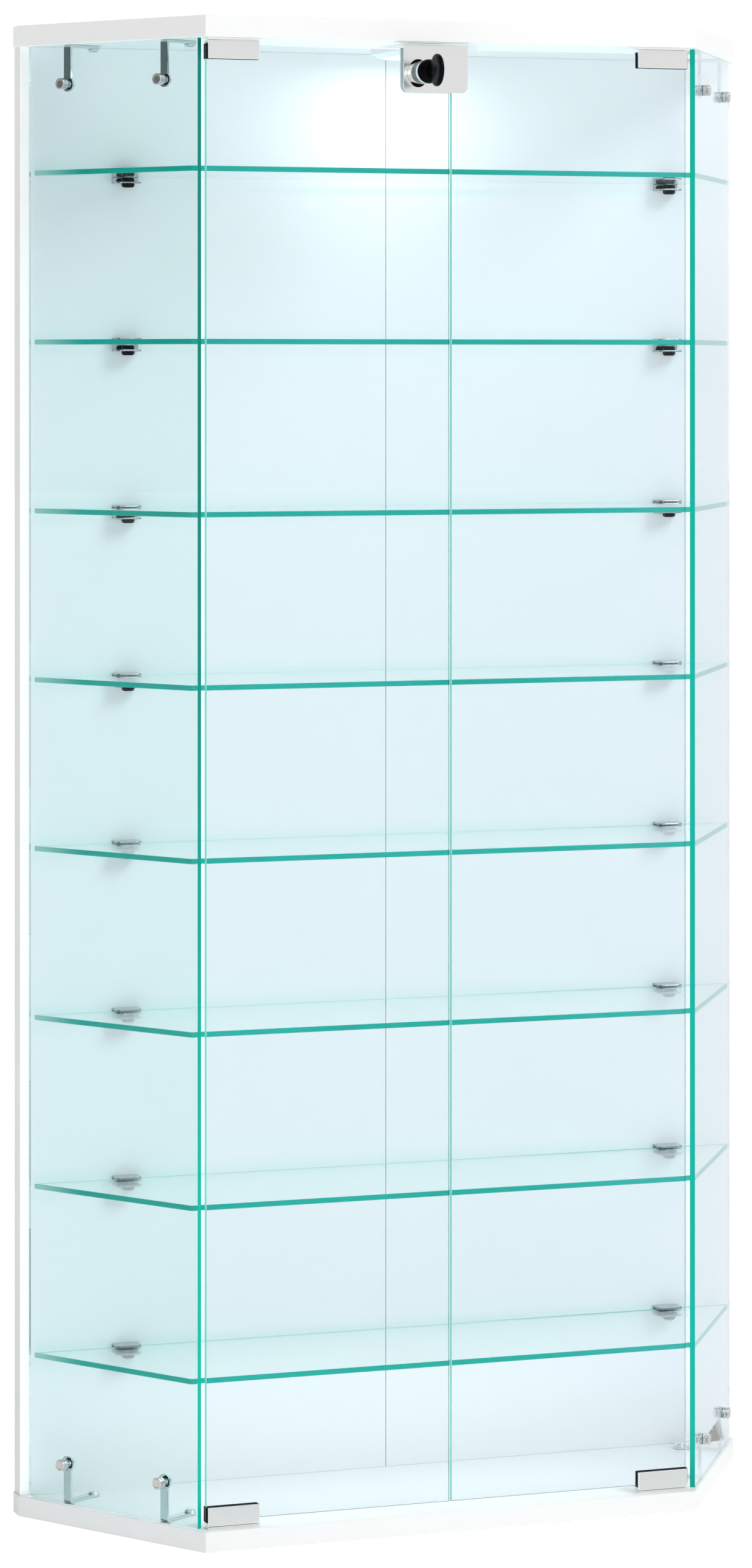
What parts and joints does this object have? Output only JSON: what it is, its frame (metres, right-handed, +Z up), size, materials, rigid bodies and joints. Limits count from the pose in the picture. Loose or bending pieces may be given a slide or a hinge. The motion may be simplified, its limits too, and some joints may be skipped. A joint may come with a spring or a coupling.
{
  "type": "wall-hung glass curio cabinet",
  "caption": "Tall shallow display cabinet with slanted glass sides, clamped glass shelves, paired hinged glass doors and a clip-on lock, for small collectibles.",
  "frame": {"origin": "centre of the underside of the bottom board, at the middle of its width and of its depth", "axes": "+X to the right seen from the front, +Y towards the wall behind, +Z up"},
  "size_m": [0.6, 0.2245, 1.15],
  "materials": {
    "white_board": "white melamine-faced board, satin, fine pebble",
    "clear_glass": "clear float glass with ground edges that look sea green",
    "polished_chrome": "polished chrome plate",
    "brushed_metal": "satin, brushed lengthwise",
    "black_rubber": "matt black rubber",
    "black_plastic": "smooth black moulded plastic",
    "lamp_plastic": "white moulded plastic",
    "lamp_lens": "frosted white diffuser, lit"
  },
  "bodies": {
    "cabinet": {"top_board": "white_board", "bottom_board": "white_board", "back_panel_left": "white_board", "back_panel_right": "white_board", "side_glass_left": "clear_glass", "side_glass_right": "clear_glass", "side_bracket_top_left_front": "polished_chrome", "side_bracket_top_left_rear": "polished_chrome", "side_bracket_bottom_left_front": "polished_chrome", "side_bracket_bottom_left_rear": "polished_chrome", "side_bracket_top_right_front": "polished_chrome", "side_bracket_top_right_rear": "polished_chrome", "side_bracket_bottom_right_front": "polished_chrome", "side_bracket_bottom_right_rear": "polished_chrome", "shelf_1": "clear_glass", "shelf_2": "clear_glass", "shelf_3": "clear_glass", "shelf_4": "clear_glass", "shelf_5": "clear_glass", "shelf_6": "clear_glass", "shelf_7": "clear_glass", "shelf_8": "clear_glass", "shelf_clamp_1_left": "polished_chrome", "shelf_clamp_1_right": "polished_chrome", "shelf_clamp_2_left": "polished_chrome", "shelf_clamp_2_right": "polished_chrome", "shelf_clamp_3_left": "polished_chrome", "shelf_clamp_3_right": "polished_chrome", "shelf_clamp_4_left": "polished_chrome", "shelf_clamp_4_right": "polished_chrome", "shelf_clamp_5_left": "polished_chrome", "shelf_clamp_5_right": "polished_chrome", "shelf_clamp_6_left": "polished_chrome", "shelf_clamp_6_right": "polished_chrome", "shelf_clamp_7_left": "polished_chrome", "shelf_clamp_7_right": "polished_chrome", "shelf_clamp_8_left": "polished_chrome", "shelf_clamp_8_right": "polished_chrome", "hinge_base_top_left": "polished_chrome", "hinge_base_bottom_left": "polished_chrome", "hinge_base_top_right": "polished_chrome", "hinge_base_bottom_right": "polished_chrome", "strike_plate": "brushed_metal", "lamp_housing": "lamp_plastic", "lamp_lens": "lamp_lens"},
    "left_door": {"door_glass_left": "clear_glass", "hinge_clamp_top_left": "brushed_metal", "hinge_gasket_top_left": "black_rubber", "hinge_clamp_bottom_left": "brushed_metal", "hinge_gasket_bottom_left": "black_rubber", "lock_plate": "brushed_metal", "lock_barrel": "polished_chrome"},
    "right_door": {"door_glass_right": "clear_glass", "hinge_clamp_top_right": "brushed_metal", "hinge_gasket_top_right": "black_rubber", "hinge_clamp_bottom_right": "brushed_metal", "hinge_gasket_bottom_right": "black_rubber"},
    "lock_core": {"lock_plug": "brushed_metal", "lock_cam": "polished_chrome"},
    "key": {"key": "black_plastic"}
  },
  "joints": [
    {"name": "left_door_hinge", "type": "hinge", "parent": "cabinet", "child": "left_door", "pos_m": [-0.19, -0.0755, 0.575], "axis": [0, 0, -1], "range_deg": [0, 110]},
    {"name": "right_door_hinge", "type": "hinge", "parent": "cabinet", "child": "right_door", "pos_m": [0.19, -0.0755, 0.575], "axis": [0, 0, 1], "range_deg": [0, 110]},
    {"name": "lock_turn", "type": "hinge", "parent": "left_door", "child": "lock_core", "pos_m": [-0.028, -0.0825, 1.11], "axis": [0, -1, 0], "range_deg": [0, 90]},
    {"name": "key_slide", "type": "slide", "parent": "lock_core", "child": "key", "axis": [0, -1, 0], "range_m": [0, 0.026]}
  ],
  "couplings": [
    {"joint": "right_door_hinge", "follows": "left_door_hinge", "ratio": 1}
  ]
}
